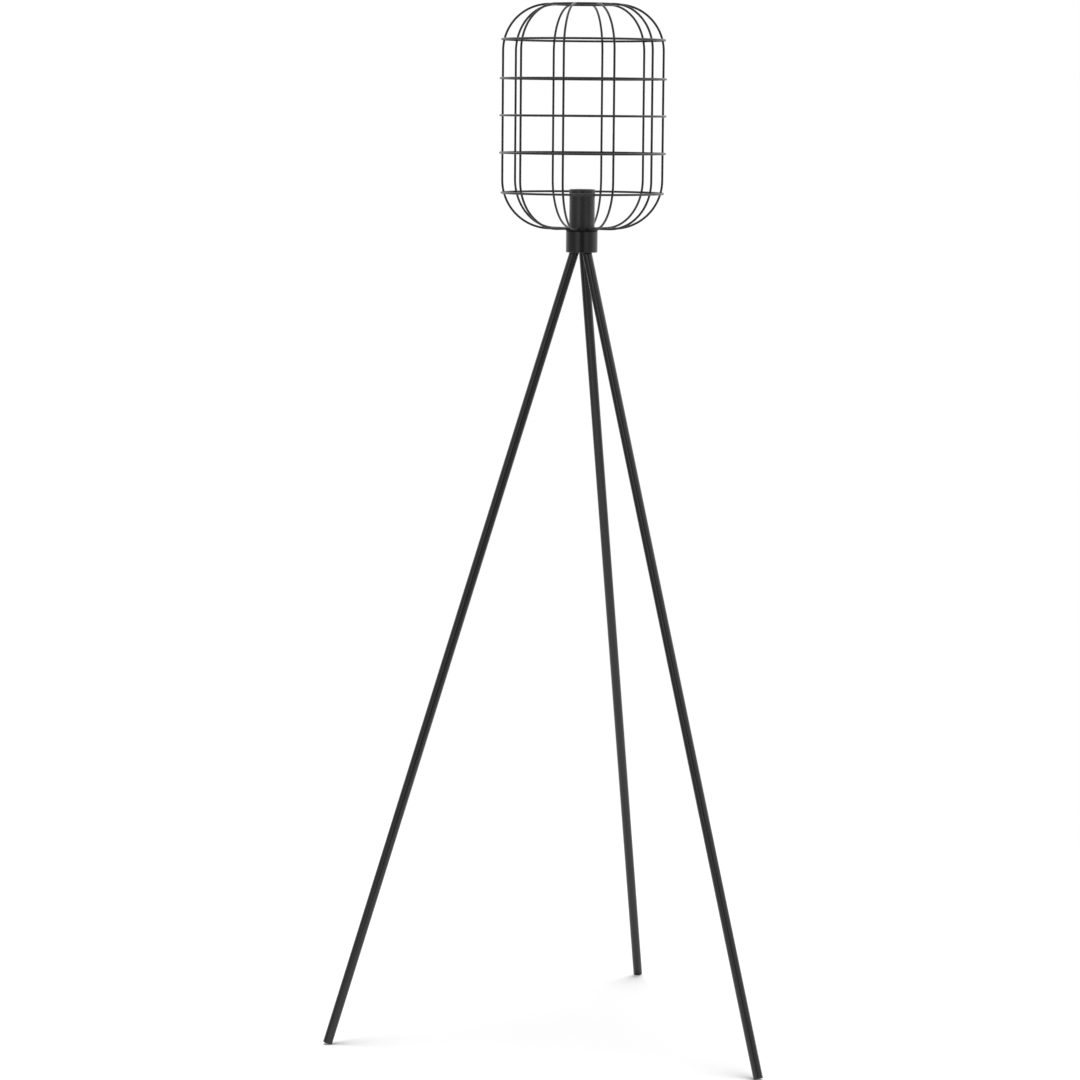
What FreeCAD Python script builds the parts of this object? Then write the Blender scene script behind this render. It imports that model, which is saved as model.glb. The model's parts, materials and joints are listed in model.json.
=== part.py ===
import FreeCAD, Part
import math
import os

import Sketcher
from FreeCAD import Vector

# Wire cage floor lamp: three straight tube legs run up into a small round hub, and a cage of
# bent wire ribs and rings stands on the hub round an upright lampholder.
#
# Frame: millimetres, +Z up, floor at z = 0, origin at the centre of the footprint's box.
# One leg points to +Y (the rear) and the lamp's own axis stands a little way towards -Y.
#
# Each piece is drawn about its own axis and then placed. Legs are drawn along their own
# axis, with local z = 0 where that axis crosses the hub's underside. Everything that stands
# on the base plate is drawn with local z = 0 on the plate's top face, called the deck.

doc = FreeCAD.newDocument("WireCageFloorLamp")

# ---------------------------------------------------------------------------
# Sizes, in millimetres and degrees
# ---------------------------------------------------------------------------

SIZES = [
    # legs
    ("leg_length", 1237.4, "leg tube, end to end"),
    ("leg_tilt", 17.4, "lean of each leg from the vertical, degrees"),
    ("leg_circle_r", 11.3, "lamp axis to leg axis at the hub's underside"),
    ("tube_d", 14.0, "leg tube, outside"),
    ("tube_wall", 1.0, "leg tube, wall"),
    ("socket_depth", 3.4, "how far a tube goes into the hub, along its axis"),
    ("stud_d", 8.0, "leg stud, diameter"),
    ("stud_in_hub", 10.0, "leg stud, length above the tube's end"),
    ("stud_in_leg", 16.0, "leg stud, length below the tube's end"),
    ("insert_length", 22.0, "threaded insert in a tube's top end"),
    ("insert_setback", 0.5, "tube's end to the insert's face"),
    ("drill_extra", 1.0, "depth of a stud's hole past the stud"),
    # foot caps
    ("cap_flange", 1.8, "foot cap, thickness below the tube's end"),
    ("cap_edge", 0.8, "foot cap, radius of its rim"),
    ("cap_plug", 14.0, "foot cap, length inside the tube"),
    ("cap_wall", 1.6, "foot cap, wall of the plug"),
    # hub
    ("hub_d", 47.0, "hub, diameter"),
    ("hub_height", 31.2, "hub, height"),
    ("hub_edge", 0.6, "hub, chamfer of both rims"),
    ("wire_room_d", 8.6, "hub, central hole for the wires"),
    ("channel_d", 8.2, "hub, side channel for the cord"),
    ("channel_height", 19.8, "hub, underside to the channel's axis"),
    ("spot_d", 12.4, "hub, flat cut for the bush's flange"),
    ("spot_depth", 1.0, "hub, depth of that flat"),
    # cord bush
    ("bush_bore_d", 6.6, "cord bush, bore"),
    ("bush_length", 10.0, "cord bush, length inside the hub"),
    ("bush_flange_d", 11.6, "cord bush, flange diameter"),
    ("bush_flange", 1.2, "cord bush, flange thickness"),
    ("bush_edge", 0.4, "cord bush, chamfer of the flange"),
    # cage
    ("wire_d", 3.3, "cage wire"),
    ("weld_sink", 0.15, "how far welded wires sink into each other"),
    ("rib_circle_r", 118.6, "lamp axis to the ribs' straight runs"),
    ("rib_inner_r", 19.6, "lamp axis to the ribs' inner ends"),
    ("cage_height", 332.0, "deck to the top of the cage"),
    ("top_bend_r", 68.0, "rib's upper bend"),
    ("bottom_bend_r", 71.0, "rib's lower bend"),
    ("top_ring_r", 48.0, "lamp axis to the top ring's wire"),
    ("cage_turn", 1.7, "turn of the cage from the rear leg, degrees"),
    ("ring_height_1", 278.5, "deck to the uppermost hoop"),
    ("ring_height_2", 221.5, "deck to the second hoop"),
    ("ring_height_3", 167.2, "deck to the third hoop"),
    ("ring_height_4", 112.4, "deck to the fourth hoop"),
    ("ring_height_5", 53.7, "deck to the lowest hoop"),
    # base plate and its clamping
    ("plate_d", 48.6, "base plate, diameter"),
    ("plate_t", 2.5, "base plate, thickness"),
    ("plate_edge", 0.4, "base plate, chamfer of the upper rim"),
    ("plate_seam", 1.0, "base plate, height of the step under its rim"),
    ("plate_step", 1.2, "base plate, depth of that step"),
    ("nipple_d", 10.0, "threaded nipple, outside"),
    ("nipple_bore_d", 7.6, "threaded nipple, bore"),
    ("nipple_in_hub", 6.0, "threaded nipple, length in the hub"),
    ("nipple_rise", 11.4, "threaded nipple, length above the deck"),
    ("washer_d", 18.0, "washer, diameter"),
    ("washer_t", 0.6, "washer, thickness"),
    ("nut_flats", 14.0, "nut, across flats"),
    ("nut_t", 3.0, "nut, thickness"),
    # sleeve and lampholder
    ("sleeve_d", 37.7, "metal sleeve, outside"),
    ("sleeve_wall", 0.8, "metal sleeve, wall and floor"),
    ("sleeve_height", 48.0, "metal sleeve, height"),
    ("holder_gap", 0.25, "sleeve's wall to the lampholder"),
    ("collar_d", 38.5, "lampholder's collar, diameter"),
    ("collar_height", 11.5, "lampholder's collar, height"),
    ("collar_edge", 1.4, "lampholder's collar, radius of its upper rim"),
    ("holder_wall", 3.0, "lampholder body, wall"),
    ("mouth_flare", 0.8, "lampholder body, chamfer of the mouth"),
    ("dome_wall", 2.2, "lampholder base, wall and floor"),
    ("neck_d", 16.0, "lampholder base, neck diameter"),
    ("neck_height", 3.0, "lampholder base, neck height"),
    ("core_seat", 22.0, "deck to the underside of the lampholder's core"),
    ("core_flange", 2.0, "lampholder core, flange thickness"),
    ("core_height", 9.0, "lampholder core, height"),
    ("well_r", 9.2, "lampholder core, radius of the contact's well"),
    ("well_depth", 3.0, "lampholder core, depth of the contact's well"),
    ("shell_bore_d", 26.5, "screw shell, bore"),
    ("shell_t", 0.4, "screw shell, sheet thickness"),
    ("shell_length", 24.0, "screw shell, height"),
    ("shell_lip", 0.45, "screw shell, width of the turned lip"),
    ("shell_foot", 4.0, "screw shell, width of the turned-in foot"),
    ("tongue_w", 6.0, "centre contact, width"),
    ("tongue_t", 0.5, "centre contact, strip thickness"),
    ("tongue_rise", 2.4, "centre contact, height of its raised tip"),
    ("tongue_foot", 3.0, "centre contact, length of its flat foot"),
    ("tongue_ramp", 3.0, "centre contact, length of its slope"),
    ("tongue_tip", 5.0, "centre contact, length of its raised tip"),
    ("terminal_x", 9.0, "lamp axis to each terminal"),
    ("terminal_w", 6.0, "terminal block, width"),
    ("terminal_t", 6.0, "terminal block, height"),
    ("screw_d", 3.0, "terminal screw, shank"),
    ("screw_length", 4.0, "terminal screw, shank length"),
    ("screw_head_d", 4.8, "terminal screw, head"),
    ("screw_head", 1.4, "terminal screw, head height"),
    # fits
    ("close_fit", 0.05, "radial clearance of threads and plugs"),
    ("loose_fit", 0.3, "radial clearance of a loose hole"),
]

RIBS = 10
HOOPS = 5
LEGS = (("rear", 90.0), ("left", 210.0), ("right", 330.0))

sheet = doc.addObject("Spreadsheet::Sheet", "Sizes")
for row, (alias, number, note) in enumerate(SIZES, start=1):
    sheet.set("A%d" % row, note)
    sheet.set("B%d" % row, str(number))
    sheet.setAlias("B%d" % row, alias)
doc.recompute()


class Dim:
    """A size that carries its number and the sheet expression that gives it."""

    def __init__(self, text, value):
        self.text = text
        self.value = value

    def __add__(self, other):
        return combine(self, "+", other, self.value + as_dim(other).value)

    def __sub__(self, other):
        return combine(self, "-", other, self.value - as_dim(other).value)

    def __rsub__(self, other):
        return as_dim(other) - self

    def __mul__(self, other):
        return combine(self, "*", other, self.value * as_dim(other).value)

    def __rmul__(self, other):
        return as_dim(other) * self

    def __truediv__(self, other):
        return combine(self, "/", other, self.value / as_dim(other).value)


def as_dim(number):
    return number if isinstance(number, Dim) else Dim(repr(float(number)), float(number))


def combine(left, sign, right, value):
    return Dim("(%s %s %s)" % (left.text, sign, as_dim(right).text), value)


def size(alias):
    """The sheet's cell of that name."""
    return Dim("Sizes.%s" % alias, float(sheet.get(alias)))


def sin(angle):
    return Dim("sin(%s)" % angle.text, math.sin(math.radians(angle.value)))


def cos(angle):
    return Dim("cos(%s)" % angle.text, math.cos(math.radians(angle.value)))


def root(number):
    return Dim("sqrt(%s)" % number.text, math.sqrt(number.value))


# ---------------------------------------------------------------------------
# Sizes and heights that follow from the sheet
# ---------------------------------------------------------------------------

slip = size("close_fit")
clear = size("loose_fit")

tilt = size("leg_tilt")
tube_r = size("tube_d") / 2
tube_bore_r = tube_r - size("tube_wall")
stud_r = size("stud_d") / 2
socket = size("socket_depth")
tube_end = socket - size("leg_length")
cap_edge = size("cap_edge")
cap_face = tube_end - size("cap_flange")

# The foot caps stand on their rims: their rounded inner edge touches the floor.
foot_rim = -1 * cap_face - cap_edge
hub_z = foot_rim * cos(tilt) + (tube_r - cap_edge) * sin(tilt) + cap_edge
plate_z = hub_z + size("hub_height")
deck_z = plate_z + size("plate_t")

# Reach of the rear foot to +Y and of the front feet to -Y, from the lamp's axis.
foot_r = size("leg_circle_r") + foot_rim * sin(tilt)
rear_reach = foot_r + (tube_r - cap_edge) * cos(tilt) + cap_edge
front_reach = foot_r / 2 + (tube_r - cap_edge) * root(1 - sin(tilt) * sin(tilt) / 4) + cap_edge
axis_y = (front_reach - rear_reach) / 2

wire_r = size("wire_d") / 2
sink = size("weld_sink")
nipple_r = size("nipple_d") / 2
sleeve_r = size("sleeve_d") / 2
holder_r = sleeve_r - size("sleeve_wall") - size("holder_gap")
holder_bore_r = holder_r - size("holder_wall")

# ---------------------------------------------------------------------------
# Drawing helpers
# ---------------------------------------------------------------------------


def bind(thing, name, dim):
    """Set a property, or a constraint, to a size and keep it bound to the sheet."""
    thing.setExpression(name, dim.text)


def place(thing, x=0, y=axis_y, z=0, yaw=0, pitch=0, roll=0):
    """Bind the whole placement: a turn about X (roll), then Y (pitch), then Z (yaw)."""
    where = "; ".join(as_dim(part).text for part in (x, y, z))
    turn = "; ".join(as_dim(part).text for part in (yaw, pitch, roll))
    bind(thing, "Placement", Dim("placement(vector(%s); rotation(%s))" % (where, turn), None))


def new_body(label):
    body = doc.addObject("PartDesign::Body", label)
    body.Label = label
    return body


def origin_part(body, role):
    """One of the body's own origin planes or axes, such as XY_Plane."""
    return next(part for part in body.Origin.OriginFeatures if part.Role == role)


def new_sketch(body, name, plane, offset=None):
    """A sketch on an origin plane of its body, lifted off it by offset."""
    sketch = body.newObject("Sketcher::SketchObject", name)
    sketch.AttachmentSupport = [(origin_part(body, plane), "")]
    sketch.MapMode = "FlatFace"
    if offset is not None:
        bind(sketch, ".AttachmentOffset.Base.z", offset)
    return sketch


def bind_constraint(sketch, constraint, dim):
    index = sketch.addConstraint(constraint)
    name = "size_%d" % index
    sketch.renameConstraint(index, name)
    bind(sketch, "Constraints.%s" % name, dim)


def fix_point(sketch, edge, end, x, y):
    """Hold one end of an edge at (x, y) from the sketch's origin."""
    for value, kind, axis in ((x, "DistanceX", -2), (y, "DistanceY", -1)):
        if as_dim(value).value == 0:
            sketch.addConstraint(Sketcher.Constraint("PointOnObject", edge, end, axis))
        else:
            pair = Sketcher.Constraint(kind, -1, 1, edge, end, as_dim(value).value)
            bind_constraint(sketch, pair, as_dim(value))


def arc_centre(start, end, radius):
    """Centre of the arc from start to end: left of its travel if radius > 0, else right."""
    chord = end - start
    left = Vector(-chord.y, chord.x, 0).normalize()
    lift = math.sqrt(max(radius * radius - chord.Length * chord.Length / 4, 0.0))
    return (start + end) * 0.5 + left * (lift if radius > 0 else -lift)


def draw(sketch, points, closed=True):
    """Draw straight and round edges through points and fix each one from the sheet.

    A point is (x, y), or (x, y, radius) where the edge that arrives there is an arc of less
    than half a turn, anticlockwise for a positive radius and clockwise for a negative one.
    """
    corners = [Vector(as_dim(point[0]).value, as_dim(point[1]).value, 0) for point in points]
    steps = list(range(1, len(points))) + ([0] if closed else [])
    ends = []
    for step in steps:
        start, end = corners[step - 1], corners[step]
        if len(points[step]) == 2:
            edge = sketch.addGeometry(Part.LineSegment(start, end))
            ends.append((edge, 1, 2))
            continue
        radius = points[step][2]
        centre = arc_centre(start, end, radius.value)
        low, high = (start, end) if radius.value > 0 else (end, start)
        turns = [math.atan2(point.y - centre.y, point.x - centre.x) for point in (low, high)]
        circle = Part.Circle(centre, Vector(0, 0, 1), abs(radius.value))
        edge = sketch.addGeometry(Part.ArcOfCircle(circle, turns[0], turns[1]))
        ends.append((edge, 1, 2) if radius.value > 0 else (edge, 2, 1))
        size_of_arc = radius if radius.value > 0 else -1 * radius
        rule = Sketcher.Constraint("Radius", edge, size_of_arc.value)
        bind_constraint(sketch, rule, size_of_arc)
    for (edge, _, last), (other, first, _) in zip(ends, ends[1:]):
        sketch.addConstraint(Sketcher.Constraint("Coincident", edge, last, other, first))
    if closed:
        first, last = ends[0], ends[-1]
        sketch.addConstraint(Sketcher.Constraint("Coincident", last[0], last[2], first[0], first[1]))
    else:
        fix_point(sketch, ends[0][0], ends[0][1], points[0][0], points[0][1])
    for step, (edge, _, last) in zip(steps, ends):
        fix_point(sketch, edge, last, points[step][0], points[step][1])


def lathe(label, outline):
    """A turned piece: a closed outline of (radius, height) points, turned about local Z."""
    body = new_body(label)
    sketch = new_sketch(body, label + "_outline", "XZ_Plane")
    draw(sketch, outline)
    turn = body.newObject("PartDesign::Revolution", label + "_turn")
    turn.Profile = sketch
    turn.ReferenceAxis = (sketch, ["V_Axis"])
    turn.Angle = 360
    return body


def tube_outline(inner, outer, bottom, top):
    return [(inner, bottom), (outer, bottom), (outer, top), (inner, top)]


def bored(body, name, plane, outline, start, end):
    """Groove a closed outline out of a body, turned about the line from start to end."""
    sketch = new_sketch(body, name + "_outline", plane)
    draw(sketch, outline)
    line = Part.LineSegment(
        Vector(as_dim(start[0]).value, as_dim(start[1]).value, 0),
        Vector(as_dim(end[0]).value, as_dim(end[1]).value, 0),
    )
    axis = sketch.addGeometry(line, True)
    fix_point(sketch, axis, 1, start[0], start[1])
    fix_point(sketch, axis, 2, end[0], end[1])
    groove = body.newObject("PartDesign::Groove", name)
    groove.Profile = sketch
    groove.ReferenceAxis = (sketch, ["Axis0"])
    groove.Angle = 360
    return groove


nodes = []


def keep(thing):
    """List a finished sub-part; its Label names its file."""
    nodes.append(thing)
    return thing


# ---------------------------------------------------------------------------
# Hub
# ---------------------------------------------------------------------------

hub_r = size("hub_d") / 2
hub_top = size("hub_height")
hub_edge = size("hub_edge")
wire_room_r = size("wire_room_d") / 2
nipple_hole_r = nipple_r + slip
channel_r = size("channel_d") / 2
channel_z = size("channel_height")
nipple_stop = hub_top - size("nipple_in_hub")

hub = lathe("hub_body", [
    (0, 0),
    (hub_r - hub_edge, 0),
    (hub_r, hub_edge),
    (hub_r, hub_top - hub_edge),
    (hub_r - hub_edge, hub_top),
    (nipple_hole_r, hub_top),
    (nipple_hole_r, nipple_stop),
    (wire_room_r, nipple_stop),
    (wire_room_r, channel_z - channel_r),
    (0, channel_z - channel_r),
])


def on_leg(along, out):
    """A point of the leg's own plane: along its axis from the hub's underside, and out from it."""
    reach = size("leg_circle_r") - along * sin(tilt) + out * cos(tilt)
    return reach, along * cos(tilt) + out * sin(tilt)


stud_hole_r = stud_r + slip
stud_hole_end = socket + size("stud_in_hub") + size("drill_extra")
below_hub = -1 * size("tube_d")
leg_hole = bored(
    hub,
    "leg_hole",
    "YZ_Plane",
    [
        on_leg(below_hub, as_dim(0)),
        on_leg(below_hub, tube_r + slip),
        on_leg(socket, tube_r + slip),
        on_leg(socket, stud_hole_r),
        on_leg(stud_hole_end, stud_hole_r),
        on_leg(stud_hole_end, as_dim(0)),
    ],
    on_leg(below_hub, as_dim(0)),
    on_leg(stud_hole_end, as_dim(0)),
)
leg_holes = hub.newObject("PartDesign::PolarPattern", "leg_holes")
leg_holes.Originals = [leg_hole]
leg_holes.Axis = (origin_part(hub, "Z_Axis"), [""])
leg_holes.Angle = 360
leg_holes.Occurrences = len(LEGS)
hub.Tip = leg_holes

# The cord's channel runs from the wire room to a flat on the hub's rear.
spot_y = hub_r - size("spot_depth")
spot_r = size("spot_d") / 2
bored(
    hub,
    "cord_channel",
    "YZ_Plane",
    [
        (0, channel_z),
        (hub_r + spot_r, channel_z),
        (hub_r + spot_r, channel_z + spot_r),
        (spot_y, channel_z + spot_r),
        (spot_y, channel_z + channel_r),
        (0, channel_z + channel_r),
    ],
    (0, channel_z),
    (hub_r + spot_r, channel_z),
)
place(hub, z=hub_z)
keep(hub)

bush_r = channel_r - slip
bush_bore_r = size("bush_bore_d") / 2
bush_flange_r = size("bush_flange_d") / 2
bush_edge = size("bush_edge")
bush = lathe("cord_bush", [
    (bush_bore_r, -1 * size("bush_length")),
    (bush_r, -1 * size("bush_length")),
    (bush_r, 0),
    (bush_flange_r, 0),
    (bush_flange_r, size("bush_flange") - bush_edge),
    (bush_flange_r - bush_edge, size("bush_flange")),
    (bush_bore_r, size("bush_flange")),
])
place(bush, y=axis_y + spot_y, z=hub_z + channel_z, roll=-90)
keep(bush)

# ---------------------------------------------------------------------------
# Legs: tube, threaded insert and foot cap along one tilted axis
# ---------------------------------------------------------------------------


def place_on_leg(thing, angle):
    """Local Z goes up the leg from the point where its axis crosses the hub's underside."""
    turn = as_dim(angle)
    x = size("leg_circle_r") * cos(turn)
    y = size("leg_circle_r") * sin(turn) + axis_y
    place(thing, x, y, hub_z, yaw=turn, pitch=-1 * tilt)


insert_top = socket - size("insert_setback")
insert_r = tube_bore_r - slip
insert_hole_end = socket - size("stud_in_leg") - size("drill_extra")
plug_r = tube_bore_r - slip
plug_top = tube_end + size("cap_plug")
studs = []

for side, angle in LEGS:
    tube = lathe("leg_tube_" + side, tube_outline(tube_bore_r, tube_r, tube_end, socket))
    insert = lathe("leg_insert_" + side, [
        (0, insert_top - size("insert_length")),
        (insert_r, insert_top - size("insert_length")),
        (insert_r, insert_top),
        (stud_hole_r, insert_top),
        (stud_hole_r, insert_hole_end),
        (0, insert_hole_end),
    ])
    cap = lathe("foot_cap_" + side, [
        (0, cap_face),
        (tube_r - cap_edge, cap_face),
        (tube_r, cap_face + cap_edge, cap_edge),
        (tube_r, tube_end),
        (plug_r, tube_end),
        (plug_r, plug_top),
        (plug_r - size("cap_wall"), plug_top),
        (plug_r - size("cap_wall"), tube_end),
        (0, tube_end),
    ])
    stud = lathe("leg_stud_" + side, [
        (0, socket - size("stud_in_leg")),
        (stud_r, socket - size("stud_in_leg")),
        (stud_r, socket + size("stud_in_hub")),
        (0, socket + size("stud_in_hub")),
    ])
    for piece in (tube, insert, cap, stud):
        place_on_leg(piece, angle)
    for piece in (tube, insert, cap):
        keep(piece)
    studs.append(stud)


def group(label, pieces):
    """Identical small pieces that share one node."""
    compound = doc.addObject("Part::Compound", label)
    compound.Label = label
    compound.Links = pieces
    return keep(compound)


group("leg_studs", studs)

# ---------------------------------------------------------------------------
# Cage: base plate, bent ribs, hoops round the outside and the top ring
# ---------------------------------------------------------------------------

plate_r = size("plate_d") / 2
plate_edge = size("plate_edge")
plate_bore_r = nipple_r + clear
plate = lathe("cage_base_plate", [
    (plate_bore_r, 0),
    (plate_r - size("plate_step"), 0),
    (plate_r - size("plate_step"), size("plate_seam")),
    (plate_r, size("plate_seam")),
    (plate_r, size("plate_t") - plate_edge),
    (plate_r - plate_edge, size("plate_t")),
    (plate_bore_r, size("plate_t")),
])
place(plate, z=plate_z)
keep(plate)

rib_r = size("rib_circle_r")
rib_low = wire_r - sink
rib_high = size("cage_height") - wire_r
low_bend = size("bottom_bend_r")
high_bend = size("top_bend_r")
rib_end = size("top_ring_r") + wire_r - sink


def bend_rib(label):
    """A wire bent twice: in along the deck, up the side, and in again to the top ring."""
    body = new_body(label)
    path = new_sketch(body, label + "_path", "XZ_Plane")
    draw(path, [
        (size("rib_inner_r"), rib_low),
        (rib_r - low_bend, rib_low),
        (rib_r, rib_low + low_bend, low_bend),
        (rib_r, rib_high - high_bend),
        (rib_r - high_bend, rib_high, high_bend),
        (rib_end, rib_high),
    ], closed=False)
    section = new_sketch(body, label + "_section", "YZ_Plane", size("rib_inner_r"))
    circle = Part.Circle(Vector(0, rib_low.value, 0), Vector(0, 0, 1), wire_r.value)
    edge = section.addGeometry(circle)
    bind_constraint(section, Sketcher.Constraint("Radius", edge, wire_r.value), wire_r)
    fix_point(section, edge, 3, 0, rib_low)
    doc.recompute()
    sweep = body.newObject("PartDesign::AdditivePipe", label + "_wire")
    sweep.Profile = section
    sweep.Spine = (path, ["Edge%d" % (number + 1) for number in range(5)])
    return body


for number in range(RIBS):
    rib = bend_rib("cage_rib_%02d" % (number + 1))
    place(rib, z=deck_z, yaw=size("cage_turn") + 90.0 + number * 360.0 / RIBS)
    keep(rib)


def hoop_radius(height):
    """Radius at which a hoop lies against the outside of the ribs at its own height."""
    touch = 2 * wire_r - sink
    over = height.value - (rib_high - high_bend).value
    under = (rib_low + low_bend).value - height.value
    if over > 0:
        rise = height - (rib_high - high_bend)
        return rib_r - high_bend + root((high_bend + touch) * (high_bend + touch) - rise * rise)
    if under > 0:
        drop = rib_low + low_bend - height
        return rib_r - low_bend + root((low_bend + touch) * (low_bend + touch) - drop * drop)
    return rib_r + touch


def ring_of_wire(label, radius, height):
    ring = doc.addObject("Part::Torus", label)
    ring.Label = label
    bind(ring, "Radius1", radius)
    bind(ring, "Radius2", wire_r)
    place(ring, z=deck_z + height)
    return keep(ring)


for number in range(1, HOOPS + 1):
    height = size("ring_height_%d" % number)
    ring_of_wire("cage_ring_%d" % number, hoop_radius(height), height)
ring_of_wire("cage_top_ring", size("top_ring_r"), rib_high)

# ---------------------------------------------------------------------------
# Nipple, washer and nut that clamp the cage and the sleeve to the hub
# ---------------------------------------------------------------------------

nipple_bottom = -1 * size("plate_t") - size("nipple_in_hub")
nipple = lathe(
    "threaded_nipple",
    tube_outline(size("nipple_bore_d") / 2, nipple_r, nipple_bottom, size("nipple_rise")),
)
place(nipple, z=deck_z)
keep(nipple)

sleeve_floor = size("sleeve_wall")
washer_top = sleeve_floor + size("washer_t")
washer = lathe(
    "washer",
    tube_outline(nipple_r + clear, size("washer_d") / 2, sleeve_floor, washer_top),
)
place(washer, z=deck_z)
keep(washer)

nut = new_body("clamp_nut")
nut_sketch = new_sketch(nut, "clamp_nut_outline", "XY_Plane", washer_top)
nut_corner = size("nut_flats") / 2 / cos(as_dim(30))
draw(nut_sketch, [
    (nut_corner * cos(as_dim(60 * turn)), nut_corner * sin(as_dim(60 * turn)))
    for turn in (0.5, 1.5, 2.5, 3.5, 4.5, 5.5)
])
nut_hole = nut_sketch.addGeometry(Part.Circle(Vector(), Vector(0, 0, 1), nipple_hole_r.value))
nut_sketch.addConstraint(Sketcher.Constraint("Coincident", nut_hole, 3, -1, 1))
nut_rule = Sketcher.Constraint("Radius", nut_hole, nipple_hole_r.value)
bind_constraint(nut_sketch, nut_rule, nipple_hole_r)
nut_pad = nut.newObject("PartDesign::Pad", "clamp_nut_pad")
nut_pad.Profile = nut_sketch
bind(nut_pad, "Length", size("nut_t"))
place(nut, z=deck_z)
keep(nut)

# ---------------------------------------------------------------------------
# Sleeve and lampholder
# ---------------------------------------------------------------------------

sleeve_top = size("sleeve_height")
sleeve = lathe("lampholder_sleeve", [
    (nipple_r + clear, 0),
    (sleeve_r, 0),
    (sleeve_r, sleeve_top),
    (sleeve_r - sleeve_floor, sleeve_top),
    (sleeve_r - sleeve_floor, sleeve_floor),
    (nipple_r + clear, sleeve_floor),
])
place(sleeve, z=deck_z)
keep(sleeve)

neck_r = size("neck_d") / 2
neck_bottom = washer_top + size("nut_t")
neck_top = neck_bottom + size("neck_height")
dome_floor = neck_top + size("dome_wall")
dome_bore_r = holder_r - size("dome_wall")
core_seat = size("core_seat")
dome = lathe("lampholder_base", [
    (nipple_hole_r, neck_bottom),
    (neck_r, neck_bottom),
    (neck_r, neck_top),
    (holder_r, neck_top),
    (holder_r, core_seat),
    (dome_bore_r, core_seat),
    (dome_bore_r, dome_floor),
    (nipple_hole_r, dome_floor),
])
place(dome, z=deck_z)
keep(dome)

core_flange_top = core_seat + size("core_flange")
core_top = core_seat + size("core_height")
core_r = holder_bore_r - slip
well_floor = core_top - size("well_depth")
core = lathe("lampholder_core", [
    (0, core_seat),
    (holder_r, core_seat),
    (holder_r, core_flange_top),
    (core_r, core_flange_top),
    (core_r, core_top),
    (size("well_r"), core_top),
    (size("well_r"), well_floor),
    (0, well_floor),
])
place(core, z=deck_z)
keep(core)

collar_r = size("collar_d") / 2
collar_edge = size("collar_edge")
collar_top = sleeve_top + size("collar_height")
mouth_flare = size("mouth_flare")
holder = lathe("lampholder_body", [
    (holder_bore_r, core_flange_top),
    (holder_r, core_flange_top),
    (holder_r, sleeve_top),
    (collar_r, sleeve_top),
    (collar_r, collar_top - collar_edge),
    (collar_r - collar_edge, collar_top, collar_edge),
    (holder_bore_r + mouth_flare, collar_top),
    (holder_bore_r, collar_top - mouth_flare),
])
place(holder, z=deck_z)
keep(holder)

shell_bore_r = size("shell_bore_d") / 2
shell_r = shell_bore_r + size("shell_t")
shell_lip_r = shell_r + size("shell_lip")
shell_foot_r = shell_bore_r - size("shell_foot")
shell_top = core_top + size("shell_length")
shell = lathe("screw_shell", [
    (shell_foot_r, core_top),
    (shell_r, core_top),
    (shell_r, shell_top - size("shell_t")),
    (shell_lip_r, shell_top - size("shell_t")),
    (shell_lip_r, shell_top),
    (shell_bore_r, shell_top),
    (shell_bore_r, core_top + size("shell_t")),
    (shell_foot_r, core_top + size("shell_t")),
])
place(shell, z=deck_z)
keep(shell)

# The centre contact is a strip: a flat foot in the core's well, a slope, and a raised tip on
# the axis, just under the screw shell's foot.
tongue_t = size("tongue_t")
tongue_rise = size("tongue_rise")
tip_half = size("tongue_tip") / 2
ramp_end = -1 * tip_half - size("tongue_ramp")
foot_end = ramp_end - size("tongue_foot")
tongue = new_body("centre_contact")
tongue_sketch = new_sketch(tongue, "centre_contact_outline", "XZ_Plane")
draw(tongue_sketch, [
    (foot_end, well_floor),
    (ramp_end, well_floor),
    (-1 * tip_half, well_floor + tongue_rise - tongue_t),
    (tip_half, well_floor + tongue_rise - tongue_t),
    (tip_half, well_floor + tongue_rise),
    (-1 * tip_half - tongue_t / 4, well_floor + tongue_rise),
    (ramp_end - tongue_t / 4, well_floor + tongue_t),
    (foot_end, well_floor + tongue_t),
])
tongue_pad = tongue.newObject("PartDesign::Pad", "centre_contact_pad")
tongue_pad.Profile = tongue_sketch
tongue_pad.SideType = "Symmetric"
bind(tongue_pad, "Length", size("tongue_w"))
place(tongue, z=deck_z)
keep(tongue)

terminal_w = size("terminal_w")
terminal_z = core_seat - size("terminal_t")
blocks = []
screws = []
for name, x in (("a", -1 * size("terminal_x")), ("b", size("terminal_x"))):
    block = new_body("terminal_block_" + name)
    block_sketch = new_sketch(block, block.Label + "_outline", "XY_Plane", terminal_z)
    draw(block_sketch, [
        (x - terminal_w / 2, -1 * terminal_w / 2),
        (x + terminal_w / 2, -1 * terminal_w / 2),
        (x + terminal_w / 2, terminal_w / 2),
        (x - terminal_w / 2, terminal_w / 2),
    ])
    hole_r = size("screw_d") / 2 + slip
    hole = block_sketch.addGeometry(Part.Circle(Vector(x.value, 0, 0), Vector(0, 0, 1), hole_r.value))
    fix_point(block_sketch, hole, 3, x, 0)
    bind_constraint(block_sketch, Sketcher.Constraint("Radius", hole, hole_r.value), hole_r)
    block_pad = block.newObject("PartDesign::Pad", block.Label + "_pad")
    block_pad.Profile = block_sketch
    bind(block_pad, "Length", size("terminal_t"))
    place(block, z=deck_z)
    blocks.append(block)

    screw = lathe("terminal_screw_" + name, [
        (0, terminal_z - size("screw_head")),
        (size("screw_head_d") / 2, terminal_z - size("screw_head")),
        (size("screw_head_d") / 2, terminal_z),
        (size("screw_d") / 2, terminal_z),
        (size("screw_d") / 2, terminal_z + size("screw_length")),
        (0, terminal_z + size("screw_length")),
    ])
    place(screw, x=x, z=deck_z)
    screws.append(screw)

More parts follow.
